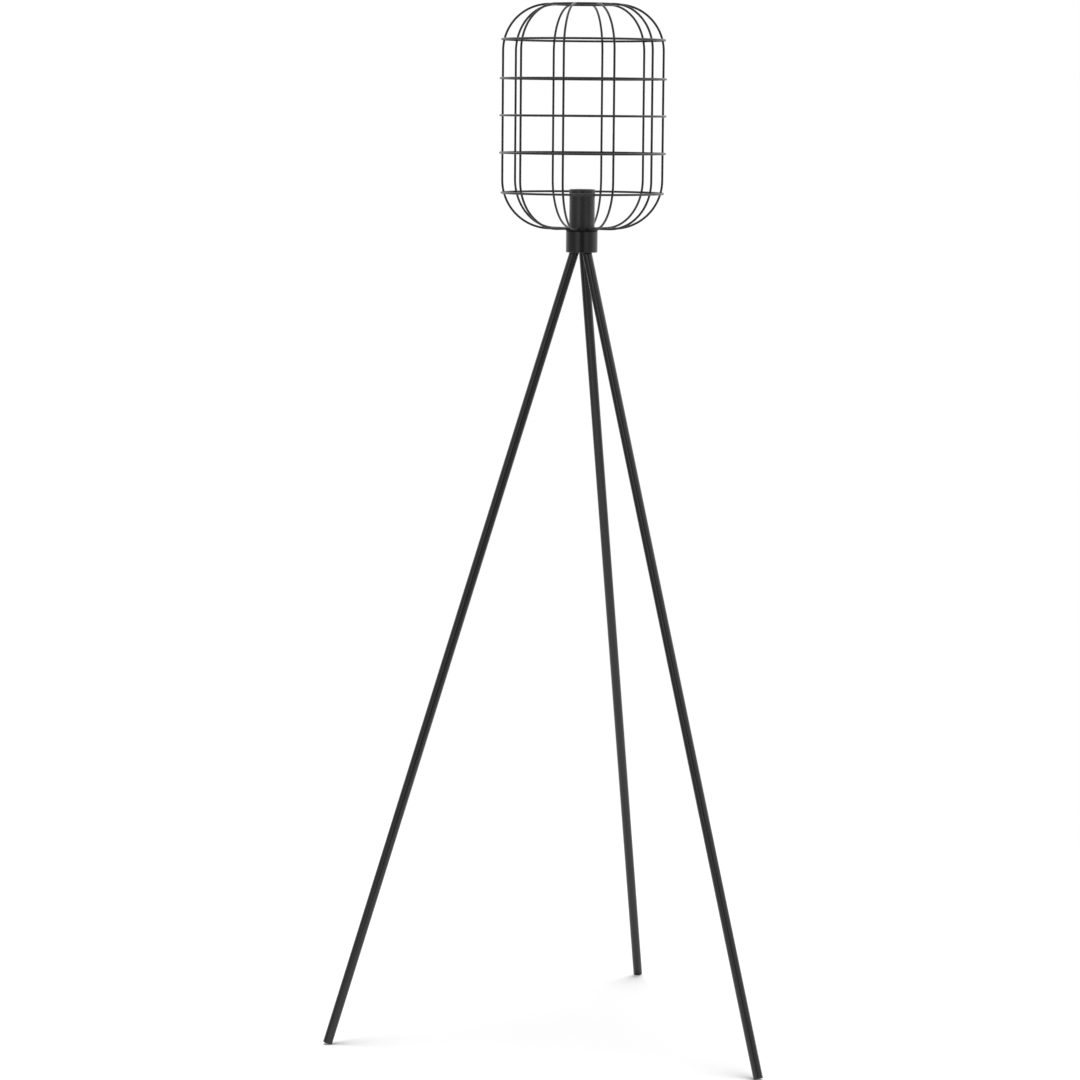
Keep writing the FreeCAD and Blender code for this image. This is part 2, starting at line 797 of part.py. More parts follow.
group("terminal_blocks", blocks)
group("terminal_screws", screws)

# ---------------------------------------------------------------------------
# Check and write
# ---------------------------------------------------------------------------

doc.recompute()
for thing in doc.Objects:
    if "Invalid" in thing.State or "Error" in thing.State:
        raise RuntimeError("%s did not build: %s" % (thing.Label, thing.State))
for thing in nodes:
    if thing.Shape.isNull() or not thing.Shape.isValid() or not thing.Shape.Solids:
        raise RuntimeError("%s has no valid solid" % thing.Label)

# The sockets and the channel must take metal away.
plain_hub = math.pi * hub_r.value ** 2 * hub_top.value
if hub.Shape.Volume > 0.97 * plain_hub:
    raise RuntimeError("the hub's holes cut nothing")

os.makedirs("parts", exist_ok=True)
for thing in nodes:
    thing.Shape.exportStep("parts/%s.step" % thing.Label)

box = Part.makeCompound([thing.Shape for thing in nodes]).optimalBoundingBox(False)
print("%d sub-parts" % len(nodes))
print("box x %.2f %.2f  y %.2f %.2f  z %.2f %.2f"
      % (box.XMin, box.XMax, box.YMin, box.YMax, box.ZMin, box.ZMax))
print("lamp axis at y %.3f, hub underside at z %.3f, deck at z %.3f"
      % (axis_y.value, hub_z.value, deck_z.value))
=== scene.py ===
import json
from math import cos, pi, radians, sin

import bpy
import numpy as np
from mathutils import Matrix, Vector


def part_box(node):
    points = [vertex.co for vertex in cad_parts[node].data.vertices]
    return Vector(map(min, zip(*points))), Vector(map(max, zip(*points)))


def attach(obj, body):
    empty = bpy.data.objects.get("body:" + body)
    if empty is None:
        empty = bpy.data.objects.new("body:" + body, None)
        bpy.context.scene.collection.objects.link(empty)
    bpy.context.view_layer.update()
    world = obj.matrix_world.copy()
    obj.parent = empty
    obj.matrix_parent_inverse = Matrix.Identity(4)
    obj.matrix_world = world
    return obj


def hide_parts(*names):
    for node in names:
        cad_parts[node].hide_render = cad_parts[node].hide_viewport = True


# Looks for the wire cage floor lamp: satin black powder coat on the legs, hub, cage and sleeve,
# a moulded lampholder with a rolled brass screw shell, and the cage's welds.
# Everything is in metres, in the same frame as the solids: +Z up, +Y towards the rear leg.

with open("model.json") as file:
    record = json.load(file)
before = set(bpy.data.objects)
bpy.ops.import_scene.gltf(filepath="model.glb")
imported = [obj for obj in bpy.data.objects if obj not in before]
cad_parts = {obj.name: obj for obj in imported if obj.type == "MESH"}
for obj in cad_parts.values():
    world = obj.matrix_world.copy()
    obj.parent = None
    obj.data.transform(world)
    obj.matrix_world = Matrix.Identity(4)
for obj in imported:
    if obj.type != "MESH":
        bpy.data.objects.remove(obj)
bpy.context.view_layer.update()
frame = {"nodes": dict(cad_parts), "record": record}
nodes = frame["nodes"]


# ---------------------------------------------------------------------------
# Where things are on the solids
# ---------------------------------------------------------------------------

def middle(node):
    """The middle of a node's box at rest."""
    low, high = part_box(node)
    return (low + high) / 2


AXIS = middle("cage_base_plate")                  # the lamp's own axis, at x = 0
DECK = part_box("cage_base_plate")[1].z             # top face of the base plate

TOP_RING_LOW, TOP_RING_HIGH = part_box("cage_top_ring")
WIRE = (TOP_RING_HIGH.z - TOP_RING_LOW.z) / 2     # the cage wire's radius
SINK = 0.00015                                    # how far welded wires sink into each other
RIBS = 10
RIB_STEP = 2 * pi / RIBS                          # turn from one rib to the next
FIRST_RIB = radians(91.7)
RIB_ANGLES = FIRST_RIB + np.arange(RIBS) * RIB_STEP
RIB_R = 0.1186                                    # axis to the ribs' straight runs
LOW_BEND = 0.071                                  # radius of a rib's lower bend
HIGH_BEND = 0.068                                 # radius of its upper bend
RIB_LOW = DECK + WIRE - SINK                      # centreline of the ribs' runs on the plate
RIB_HIGH = TOP_RING_LOW.z + WIRE                  # centreline of their ends at the top ring
TOP_RING_R = (TOP_RING_HIGH.x - TOP_RING_LOW.x) / 2 - WIRE
HOOPS = [middle("cage_ring_%d" % number).z for number in range(1, 6)]     # centrelines' heights

SHELL_LOW, SHELL_HIGH = (corner.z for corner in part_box("screw_shell"))
SHELL_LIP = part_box("screw_shell")[1].x            # outer radius of the shell's lip


# ---------------------------------------------------------------------------
# Camera
# ---------------------------------------------------------------------------

def aim_camera(place, heading, pitch, roll, lens):
    """Look along the heading, turned from +Y, tilted down by pitch, then rolled."""
    forward = Vector((-sin(heading) * cos(pitch), cos(heading) * cos(pitch), -sin(pitch)))
    level = forward.cross(Vector((0, 0, 1))).normalized()
    upright = level.cross(forward)
    right = level * cos(roll) + upright * sin(roll)
    up = upright * cos(roll) - level * sin(roll)
    data = bpy.data.cameras.new("camera")
    data.lens = lens
    data.sensor_width = 36
    data.clip_end = 200
    camera = bpy.data.objects.new("camera", data)
    turn = Matrix((right, up, -forward)).transposed()
    camera.matrix_world = Matrix.Translation(place) @ turn.to_4x4()
    bpy.context.scene.collection.objects.link(camera)
    bpy.context.scene.camera = camera


aim_camera(
    place=(1.4450, -5.2865, 1.3902),
    heading=radians(16.173),
    pitch=radians(6.7636),
    roll=radians(0.4727),
    lens=120.87,
)


# ---------------------------------------------------------------------------
# Surfaces worked out as whole arrays
# ---------------------------------------------------------------------------

def skin(name, grids, poles, slot, sharp):
    """A closed mesh from grids of points, shaped (copies, stations, points round, 3).

    Each station closes round on itself. With poles, the first and last stations are capped at
    their middle points; without, the last station joins the first. Faces are turned outwards
    by the sign of the volume they hold. Edges that turn by more than sharp degrees stay sharp.
    """
    grids = np.asarray(grids, float)
    copies, stations, around = grids.shape[:3]
    index = np.arange(stations * around).reshape(stations, around)
    below = index if not poles else index[:-1]
    above = np.roll(index, -1, axis=0) if not poles else index[1:]
    quads = np.stack([below, np.roll(below, -1, axis=1), np.roll(above, -1, axis=1), above], axis=-1)
    quads = quads.reshape(-1, 4)
    points = grids.reshape(copies, -1, 3)
    fans = np.zeros((0, 3), int)
    if poles:
        ends = grids[:, [0, -1]].mean(axis=2)
        points = np.concatenate([points, ends], axis=1)
        foot, head = stations * around, stations * around + 1
        ring = np.arange(around)
        after = np.roll(ring, -1)
        top = (stations - 1) * around
        low_fan = np.stack([np.full(around, foot), after, ring], axis=-1)
        high_fan = np.stack([np.full(around, head), top + ring, top + after], axis=-1)
        fans = np.concatenate([low_fan, high_fan])
    centred = points[0] - points[0].mean(axis=0)
    halves = np.concatenate([quads[:, [0, 1, 2]], quads[:, [0, 2, 3]], fans])
    a, b, c = (centred[halves[:, corner]] for corner in range(3))
    if np.einsum("ij,ij->i", a, np.cross(b, c)).sum() < 0:
        quads, fans = quads[:, ::-1], fans[:, ::-1]
    per_copy = points.shape[1]
    shift = np.arange(copies)[:, None, None] * per_copy
    faces = (quads[None] + shift).reshape(-1, 4).tolist() + (fans[None] + shift).reshape(-1, 3).tolist()
    mesh = bpy.data.meshes.new(name)
    mesh.from_pydata(points.reshape(-1, 3).tolist(), [], faces)
    mesh.polygons.foreach_set("use_smooth", np.ones(len(mesh.polygons), bool))
    mesh.set_sharp_from_angle(angle=radians(sharp))
    mesh.materials.append(FINISHES[slot])
    piece = bpy.data.objects.new(name, mesh)
    bpy.context.scene.collection.objects.link(piece)
    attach(piece, "root")
    return piece


def round_axis(radius, height, angle):
    """Points at a radius, height and angle about the lamp's own axis."""
    shape = np.broadcast(radius, height, angle)
    return np.stack([
        np.broadcast_to(AXIS.x + radius * np.cos(angle), shape.shape),
        np.broadcast_to(AXIS.y + radius * np.sin(angle), shape.shape),
        np.broadcast_to(height, shape.shape),
    ], axis=-1)


def turned(outline, fine):
    """Closed outline points (radius, height) with each straight run cut into steps no longer
    than fine."""
    outline = np.asarray(outline, float)
    runs = []
    for start, end in zip(outline, np.roll(outline, -1, axis=0)):
        steps = max(1, int(np.ceil(np.linalg.norm(end - start) / fine)))
        runs.append(start + (end - start) * np.arange(steps)[:, None] / steps)
    return np.concatenate(runs)


def fade(value, low, high):
    """0 below low, 1 above high, and a smooth rise between."""
    part = np.clip((value - low) / (high - low), 0, 1)
    return part * part * (3 - 2 * part)


def rolled_shell():
    """The screw shell as rolled sheet.

    Its radius is the crest radius less half the thread's depth times (1 - cos(turns)), where
    turns is 2 pi times height over pitch, less the angle: a helix. The depth fades out at the
    mouth and at the foot, and the outer face runs one sheet thickness outside the inner one.
    """
    sheet, crest, depth, pitch = 0.0004, 0.01325, 0.00105, 0.003629
    foot_r = 0.00925
    fine, around = 0.00032, 96
    hair = 1e-6
    wall = turned([
        (crest, SHELL_LOW + sheet),
        (crest, SHELL_HIGH),
        (SHELL_LIP, SHELL_HIGH),
        (SHELL_LIP, SHELL_HIGH - sheet),
        (crest + sheet, SHELL_HIGH - sheet),
        (crest + sheet, SHELL_LOW),
        (foot_r, SHELL_LOW),
        (foot_r, SHELL_LOW + sheet),
    ], fine)
    angle = np.linspace(0, 2 * pi, around, endpoint=False)[None, :]
    radius, height = wall[:, :1], wall[:, 1:]
    on_wall = (radius > crest - hair) & (radius < crest + sheet + hair)
    ends = fade(height, SHELL_LOW + 0.001, SHELL_LOW + 0.004)
    ends = ends * (1 - fade(height, SHELL_HIGH - 0.004, SHELL_HIGH - 0.0012))
    turns = 2 * pi * (height - SHELL_LOW) / pitch - angle
    dip = depth / 2 * (1 - np.cos(turns)) * ends * on_wall
    return round_axis(radius - dip, height + 0 * angle, angle + 0 * height)[None]


def beads(centres, out, along, half_out, half_along, half_across, around, lobes=0.0, rows=7):
    """Small set weld beads, one at each centre.

    A bead is a flattened ball: across it goes cos(lift) times its half widths, and out of the
    joint sin(lift) times its half height. Lobes swells it between the two wires, by
    1 - lobes times cos(4 angle), so that it fills the four corners of the crossing.
    """
    centres, out, along = (np.asarray(given, float) for given in (centres, out, along))
    across = np.cross(out, along)
    lift = np.linspace(-pi / 2, pi / 2, rows + 2)[1:-1][:, None]
    angle = np.linspace(0, 2 * pi, around, endpoint=False)[None, :]
    swell = 1 - lobes * np.cos(4 * angle)
    u = half_along * swell * np.cos(lift) * np.cos(angle)
    v = half_across * swell * np.cos(lift) * np.sin(angle)
    w = half_out * np.sin(lift) + 0 * angle
    frame_of = np.stack([along, across, out], axis=1)
    local = np.stack([u, v, w], axis=-1)
    return centres[:, None, None, :] + np.einsum("rak,ckx->crax", local, frame_of)


def collars(centres, axes, ring_r, thick, wide, around=28, section=10):
    """Low rings of weld metal round a wire: a ring of radius ring_r about each axis, whose
    section is an oval, thick across the wire and wide along it."""
    centres, axes = np.asarray(centres, float), np.asarray(axes, float)
    slanted = [0.31, 0.2, 0.93]                   # along none of the axes
    side = np.cross(axes, slanted)
    side /= np.linalg.norm(side, axis=1, keepdims=True)
    other = np.cross(axes, side)
    angle = np.linspace(0, 2 * pi, around, endpoint=False)[:, None]
    round_it = np.linspace(0, 2 * pi, section, endpoint=False)[None, :]
    reach = ring_r + thick * np.cos(round_it)
    local = np.stack([
        reach * np.cos(angle),
        reach * np.sin(angle),
        wide * np.sin(round_it) + 0 * angle,
    ], axis=-1)
    frame_of = np.stack([side, other, axes], axis=1)
    return centres[:, None, None, :] + np.einsum("rak,ckx->crax", local, frame_of)


def rib_at_hoop(height):
    """How a rib runs where a hoop at this height lies on it: the distance from the axis and the
    height of the bend's centre, the bend's radius, and the lean of the rib's outer side.

    Bends are quarter circles. On the straight run between them the lean is 0, and the centre is
    the one that puts the rib at RIB_R.
    """
    high_centre, low_centre = RIB_HIGH - HIGH_BEND, RIB_LOW + LOW_BEND
    reach = WIRE * 2 - SINK
    if height > high_centre:
        lean = np.arcsin((height - high_centre) / (HIGH_BEND + reach))
        return RIB_R - HIGH_BEND, high_centre, HIGH_BEND, lean
    if height < low_centre:
        lean = np.arcsin((height - low_centre) / (LOW_BEND + reach))
        return RIB_R - LOW_BEND, low_centre, LOW_BEND, lean
    return RIB_R - LOW_BEND, height, LOW_BEND, 0.0


def crossing_welds():
    """A bead at every place where a hoop lies on a rib, half way between the two wires."""
    centres, outs, alongs = [], [], []
    for height in HOOPS:
        centre_r, centre_z, bend, lean = rib_at_hoop(height)
        reach = bend + WIRE - SINK / 2
        radius = centre_r + reach * np.cos(lean)
        place = round_axis(radius, centre_z + reach * np.sin(lean), RIB_ANGLES)
        out = np.stack([
            np.cos(lean) * np.cos(RIB_ANGLES),
            np.cos(lean) * np.sin(RIB_ANGLES),
            np.full(RIBS, np.sin(lean)),
        ], axis=-1)
        along = np.stack([-np.sin(RIB_ANGLES), np.cos(RIB_ANGLES), np.zeros(RIBS)], axis=-1)
        centres.append(place)
        outs.append(out)
        alongs.append(along)
    joined = [np.concatenate(part) for part in (centres, outs, alongs)]
    half_out, half_wide = 0.6 * WIRE, 0.9 * WIRE
    return beads(*joined, half_out, half_wide, half_wide, around=24, lobes=0.24)


def plate_welds():
    """A long low bead under the inner end of each rib, on the base plate's top face."""
    bead_r, bead_lift = 0.0218, 0.00008
    half_out, half_along, half_across = 0.00045, 0.0018, 0.00125
    place = round_axis(bead_r, DECK + bead_lift, RIB_ANGLES)
    out = np.tile([0.0, 0.0, 1.0], (RIBS, 1))
    along = np.stack([np.cos(RIB_ANGLES), np.sin(RIB_ANGLES), np.zeros(RIBS)], axis=-1)
    return beads(place, out, along, half_out, half_along, half_across, around=20)


def top_ring_welds():
    """A low collar where each rib's end meets the outside of the top ring."""
    place = round_axis(TOP_RING_R + WIRE - SINK / 2, RIB_HIGH, RIB_ANGLES)
    axes = np.stack([np.cos(RIB_ANGLES), np.sin(RIB_ANGLES), np.zeros(RIBS)], axis=-1)
    return collars(place, axes, ring_r=WIRE - 0.00032, thick=0.00028, wide=0.00042)


def hoop_seams():
    """The ground-down butt weld that closes each hoop and the top ring, half way between two
    rear ribs. The top ring's seam sits a hair low, to stay inside the solids' box."""
    radii = [(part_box("cage_ring_%d" % number)[1].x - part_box("cage_ring_%d" % number)[0].x) / 2 - WIRE
             for number in range(1, 6)] + [TOP_RING_R]
    heights = HOOPS + [RIB_HIGH - 0.0001]
    gaps_along = np.array([0, 1, 0, -1, 1, 0])    # which gap between ribs each seam lies in
    angles = FIRST_RIB + (gaps_along + 0.5) * RIB_STEP
    place = round_axis(np.array(radii), np.array(heights), angles)
    axes = np.stack([-np.sin(angles), np.cos(angles), 0 * angles], axis=-1)
    return collars(place, axes, ring_r=WIRE - 0.00012, thick=0.0002, wide=0.0007)


# ---------------------------------------------------------------------------
# Shared effects
# ---------------------------------------------------------------------------

def node(tree, kind, **settings):
    """Add a node. A setting that starts with a capital fills the input of that name, _0 fills
    the first input, and any other setting is a property of the node."""
    made = tree.nodes.new(kind)
    inputs = {name: value for name, value in settings.items() if name[0].isupper() or name[0] == "_"}
    for name, value in settings.items():
        if name not in inputs:
            setattr(made, name, value)
    for name, value in inputs.items():
        key = int(name[1:]) if name[0] == "_" else name.replace("_", " ")
        socket = made.inputs[key]
        if isinstance(value, bpy.types.NodeSocket):
            tree.links.new(value, socket)
        else:
            socket.default_value = value
    return made


def maths(tree, operation, *values):
    """One arithmetic step on numbers or outputs."""
    made = node(tree, "ShaderNodeMath", operation=operation)
    for place, value in enumerate(values):
        if isinstance(value, bpy.types.NodeSocket):
            tree.links.new(value, made.inputs[place])
        else:
            made.inputs[place].default_value = value
    return made.outputs[0]


def remap(tree, value, low, high, new_low, new_high, smooth=False):
    """Carry low..high over to new_low..new_high, and hold the ends."""
    made = node(tree, "ShaderNodeMapRange", From_Min=low, From_Max=high, To_Min=new_low, To_Max=new_high)
    made.interpolation_type = "SMOOTHSTEP" if smooth else "LINEAR"
    tree.links.new(value, made.inputs["Value"])
    return made.outputs["Result"]


def noise(tree, vector, size, detail=2.0, roughness=0.5):
    """Noise whose blots are about that many metres across."""
    made = node(tree, "ShaderNodeTexNoise", Vector=vector, Detail=detail, Roughness=roughness)
    if isinstance(size, bpy.types.NodeSocket):
        tree.links.new(maths(tree, "DIVIDE", 1.0, size), made.inputs["Scale"])
    else:
        made.inputs["Scale"].default_value = 1.0 / size
    return made.outputs["Fac"]


def effect(name, inputs, outputs):
    """An empty shared group; an input with no default is a vector, and the rest are numbers."""
    tree = bpy.data.node_groups.new(name, "ShaderNodeTree")
    for label, value in inputs:
        kind = "NodeSocketVector" if value is None else "NodeSocketFloat"
        socket = tree.interface.new_socket(label, in_out="INPUT", socket_type=kind)
        if value is not None:
            socket.default_value = value
    for label in outputs:
        tree.interface.new_socket(label, in_out="OUTPUT", socket_type="NodeSocketFloat")
    return tree, tree.nodes.new("NodeGroupInput").outputs, tree.nodes.new("NodeGroupOutput").inputs


def coat_texture():
    """Baked powder coat: wide low waves like orange peel, a fine grain on them, and a slow
    drift of tone over the piece. Height is in metres."""
    tree, given, made = effect(
        "coat_texture",
        [("Vector", None), ("Wave Size", 0.0022), ("Wave Height", 0.000003),
         ("Grain Size", 0.00028), ("Grain Height", 0.0000022)],
        ["Height", "Grain", "Tone"],
    )
    wave = noise(tree, given["Vector"], given["Wave Size"], 1.5, 0.45)
    grain = noise(tree, given["Vector"], given["Grain Size"], 2.0, 0.6)
    height = maths(tree, "ADD", maths(tree, "MULTIPLY", wave, given["Wave Height"]),
                   maths(tree, "MULTIPLY", grain, given["Grain Height"]))
    tree.links.new(height, made["Height"])
    tree.links.new(remap(tree, grain, 0.3, 0.7, 0, 1), made["Grain"])
    tone = noise(tree, given["Vector"], 0.045, 3.0, 0.55)
    tree.links.new(remap(tree, tone, 0.3, 0.7, 0, 1), made["Tone"])
    return tree


def settled_dust():
    """Where a little dust lies: on faces that look up, in soft patches and separate specks."""
    tree, given, made = effect("settled_dust", [("Vector", None), ("Amount", 0.1)], ["Mask"])
    facing = node(tree, "ShaderNodeNewGeometry").outputs["Normal"]
    up = node(tree, "ShaderNodeSeparateXYZ", Vector=facing).outputs["Z"]
    level = remap(tree, up, 0.35, 0.95, 0, 1, smooth=True)
    patch = remap(tree, noise(tree, given["Vector"], 0.012, 3.0, 0.6), 0.38, 0.66, 0.25, 1)
    speck = remap(tree, noise(tree, given["Vector"], 0.0006, 1.0, 0.5), 0.52, 0.72, 0.3, 1)
    mask = maths(tree, "MULTIPLY", maths(tree, "MULTIPLY", level, patch), speck)
    tree.links.new(maths(tree, "MULTIPLY", mask, given["Amount"]), made["Mask"])
    return tree


def handling_marks():
    """Faint rubbed streaks left by hands and packing: stretched noise, cut to separate marks."""
    tree, given, made = effect(
        "handling_marks", [("Vector", None), ("Length", 0.02), ("Width", 0.0012)], ["Mask"])
    per_width = maths(tree, "DIVIDE", 1.0, given["Width"])
    per_length = maths(tree, "DIVIDE", 1.0, given["Length"])
    scale = node(tree, "ShaderNodeCombineXYZ", X=per_width, Y=per_width, Z=per_length)
    run = node(tree, "ShaderNodeVectorMath", operation="MULTIPLY", _0=given["Vector"], _1=scale.outputs[0])
    streak = node(tree, "ShaderNodeTexNoise", Vector=run.outputs[0], Scale=1.0, Detail=2.0).outputs["Fac"]
    streak = remap(tree, streak, 0.6, 0.75, 0, 1)
    where = remap(tree, noise(tree, given["Vector"], 0.06, 2.0, 0.5), 0.5, 0.65, 0, 1)
    tree.links.new(maths(tree, "MULTIPLY", streak, where), made["Mask"])
    return tree


def turning_lines():
    """Fine lines round an upright axis, as on a turned or rolled piece: noise that changes
    quickly with height and with distance from the axis, and hardly at all round it."""
    tree, given, made = effect(
        "turning_lines", [("Vector", None), ("Line Size", 0.00025)], ["Height", "Mask"])
    parts = node(tree, "ShaderNodeSeparateXYZ", Vector=given["Vector"]).outputs
    away = maths(tree, "SQRT", maths(tree, "ADD", maths(tree, "POWER", parts["X"], 2.0),
                                     maths(tree, "POWER", parts["Y"], 2.0)))
    swirl = maths(tree, "ARCTAN2", parts["Y"], parts["X"])
    fine = node(tree, "ShaderNodeCombineXYZ", X=maths(tree, "DIVIDE", away, given["Line Size"]),
                Y=maths(tree, "MULTIPLY", swirl, 1.2),
                Z=maths(tree, "DIVIDE", parts["Z"], given["Line Size"]))
    lines = node(tree, "ShaderNodeTexNoise", Vector=fine.outputs[0], Scale=1.0, Detail=2.0).outputs["Fac"]
    tree.links.new(maths(tree, "MULTIPLY", lines, 0.000003), made["Height"])
    tree.links.new(remap(tree, lines, 0.3, 0.7, 0, 1), made["Mask"])
    return tree


def mould_texture():
    """The dull grain that a spark-cut mould leaves, with slow shiny flow patches."""
    tree, given, made = effect(
        "mould_texture", [("Vector", None), ("Grain Size", 0.00035)], ["Height", "Grain", "Flow"])
    grain = noise(tree, given["Vector"], given["Grain Size"], 3.0, 0.65)
    flow = noise(tree, given["Vector"], 0.014, 2.0, 0.5)
    tree.links.new(maths(tree, "MULTIPLY", grain, 0.000006), made["Height"])
    tree.links.new(remap(tree, grain, 0.3, 0.7, 0, 1), made["Grain"])
    tree.links.new(remap(tree, flow, 0.35, 0.65, 0, 1), made["Flow"])
    return tree


COAT = coat_texture()
DUST = settled_dust()
MARKS = handling_marks()
LINES = turning_lines()
MOULD = mould_texture()


# ---------------------------------------------------------------------------
# Finishes
# ---------------------------------------------------------------------------

def finish(name):
    """A material with its own shader, and the place on the piece measured from the lamp's axis."""
    material = bpy.data.materials.new(name)
    material.use_nodes = True
    tree = material.node_tree
    tree.nodes.clear()
    shader = tree.nodes.new("ShaderNodeBsdfPrincipled")
    out = tree.nodes.new("ShaderNodeOutputMaterial")
    tree.links.new(shader.outputs["BSDF"], out.inputs["Surface"])
    place = tree.nodes.new("ShaderNodeTexCoord").outputs["Object"]
    mapping = node(tree, "ShaderNodeMapping", Vector=place, Location=(-AXIS.x, -AXIS.y, 0))
    return material, tree, shader, mapping.outputs[0]


def use(tree, group, **settings):
    """Place a shared effect with this material's own values."""
    made = node(tree, "ShaderNodeGroup", node_tree=group)
    for name, value in settings.items():
        socket = made.inputs[name.replace("_", " ")]
        if isinstance(value, bpy.types.NodeSocket):
            tree.links.new(value, socket)
        else:
            socket.default_value = value
    return made.outputs


def blend(tree, amount, first, second):
    """A colour that goes from the first to the second as amount goes from 0 to 1."""
    made = node(tree, "ShaderNodeMix", data_type="RGBA")
    for place, value in ((0, amount), (6, first), (7, second)):
        if isinstance(value, bpy.types.NodeSocket):
            tree.links.new(value, made.inputs[place])
        else:
            made.inputs[place].default_value = value
    return made.outputs[2]


def grey(value, warm=0.0):
    return (value * (1 + warm), value, value * (1 - warm), 1)


DUST_GREY = grey(0.24, 0.03)
RUBBED_GREY = grey(0.16)
SCUFF_GREY = grey(0.20)


def bump(tree, shader, height):
    """Relief from a height in metres."""
    made = node(tree, "ShaderNodeBump", Height=height, Distance=1.0, Strength=1.0)
    tree.links.new(made.outputs[0], shader.inputs["Normal"])


def powder_coat(name, tone, roughness, wave=0.0022, relief=0.000003, grain=0.0000022, level=0.5,
                scuffed_to=None, dust=0.10):
    """Satin black powder coat. Tone drifts a little over the piece, the grain changes the
    sheen, dust greys the faces that look up, and handling leaves faint dull streaks. Where
    scuffed_to is given, the coat is scuffed a little paler from that height down."""
    material, tree, shader, place = finish(name)
    coat = use(tree, COAT, Vector=place, Wave_Size=wave, Wave_Height=relief, Grain_Height=grain)
    colour = blend(tree, coat["Tone"], grey(tone * 0.86), grey(tone * 1.16))
    colour = blend(tree, maths(tree, "MULTIPLY", coat["Grain"], 0.35), colour, grey(tone * 1.45))
    marks = use(tree, MARKS, Vector=place)["Mask"]
    colour = blend(tree, maths(tree, "MULTIPLY", marks, 0.05), colour, RUBBED_GREY)
    if scuffed_to is not None:
        height = node(tree, "ShaderNodeSeparateXYZ", Vector=place).outputs["Z"]
        near_floor = remap(tree, height, 0.0, scuffed_to, 1, 0, smooth=True)
        spots = remap(tree, noise(tree, place, 0.0016, 3.0, 0.7), 0.56, 0.7, 0, 1)
        scuff = maths(tree, "MULTIPLY", near_floor, spots)
        colour = blend(tree, maths(tree, "MULTIPLY", scuff, 0.07), colour, SCUFF_GREY)
    lying = use(tree, DUST, Vector=place, Amount=dust)["Mask"]
    colour = blend(tree, lying, colour, DUST_GREY)
    tree.links.new(colour, shader.inputs["Base Color"])
    sheen = remap(tree, coat["Grain"], 0, 1, roughness - 0.03, roughness + 0.03)
    sheen = maths(tree, "ADD", sheen, maths(tree, "MULTIPLY", marks, 0.08))
    sheen = maths(tree, "ADD", sheen, maths(tree, "MULTIPLY", lying, 0.5))
    tree.links.new(sheen, shader.inputs["Roughness"])
    shader.inputs["Specular IOR Level"].default_value = level
    bump(tree, shader, coat["Height"])
    return material


def moulded(name, tone, roughness, grain=0.00035, dust=0.12):
    """Black moulded plastic: dull grain, shinier where the melt flowed last."""
    material, tree, shader, place = finish(name)
    mould = use(tree, MOULD, Vector=place, Grain_Size=grain)
    colour = blend(tree, mould["Flow"], grey(tone * 0.85), grey(tone * 1.2))
    colour = blend(tree, maths(tree, "MULTIPLY", mould["Grain"], 0.3), colour, grey(tone * 1.6))
    lying = use(tree, DUST, Vector=place, Amount=dust)["Mask"]
    colour = blend(tree, lying, colour, DUST_GREY)
    tree.links.new(colour, shader.inputs["Base Color"])
    sheen = remap(tree, mould["Flow"], 0, 1, roughness + 0.05, roughness - 0.05)
    sheen = maths(tree, "ADD", sheen, maths(tree, "MULTIPLY", lying, 0.4))
    tree.links.new(sheen, shader.inputs["Roughness"])
    bump(tree, shader, mould["Height"])
    return material


def glazed_core(name):
    """Off-white steatite under a thin glaze, with fine dark specks."""
    material, tree, shader, place = finish(name)
    mould = use(tree, MOULD, Vector=place, Grain_Size=0.0009)
    colour = blend(tree, mould["Flow"], (0.66, 0.63, 0.56, 1), (0.74, 0.72, 0.66, 1))
    speck = remap(tree, noise(tree, place, 0.0005, 1.0, 0.5), 0.68, 0.74, 0, 0.5)
    colour = blend(tree, speck, colour, (0.3, 0.26, 0.21, 1))
    tree.links.new(colour, shader.inputs["Base Color"])
    tree.links.new(remap(tree, mould["Grain"], 0, 1, 0.16, 0.3), shader.inputs["Roughness"])
    shader.inputs["Coat Weight"].default_value = 0.5
    shader.inputs["Coat Roughness"].default_value = 0.08
    bump(tree, shader, mould["Height"])
    return material


def bare_metal(name, bright, dull, roughness, line=0.00025):
    """Turned or rolled metal: fine lines round the piece, and cloudy duller patches."""
    material, tree, shader, place = finish(name)
    lines = use(tree, LINES, Vector=place, Line_Size=line)
    cloud = remap(tree, noise(tree, place, 0.006, 4.0, 0.6), 0.42, 0.68, 0, 1)
    colour = blend(tree, maths(tree, "MULTIPLY", cloud, 0.7), (*bright, 1), (*dull, 1))
    tree.links.new(colour, shader.inputs["Base Color"])
    sheen = remap(tree, lines["Mask"], 0, 1, roughness - 0.06, roughness + 0.08)
    sheen = maths(tree, "ADD", sheen, maths(tree, "MULTIPLY", cloud, 0.12))
    tree.links.new(sheen, shader.inputs["Roughness"])
    shader.inputs["Metallic"].default_value = 1.0
    bump(tree, shader, lines["Height"])
    return material


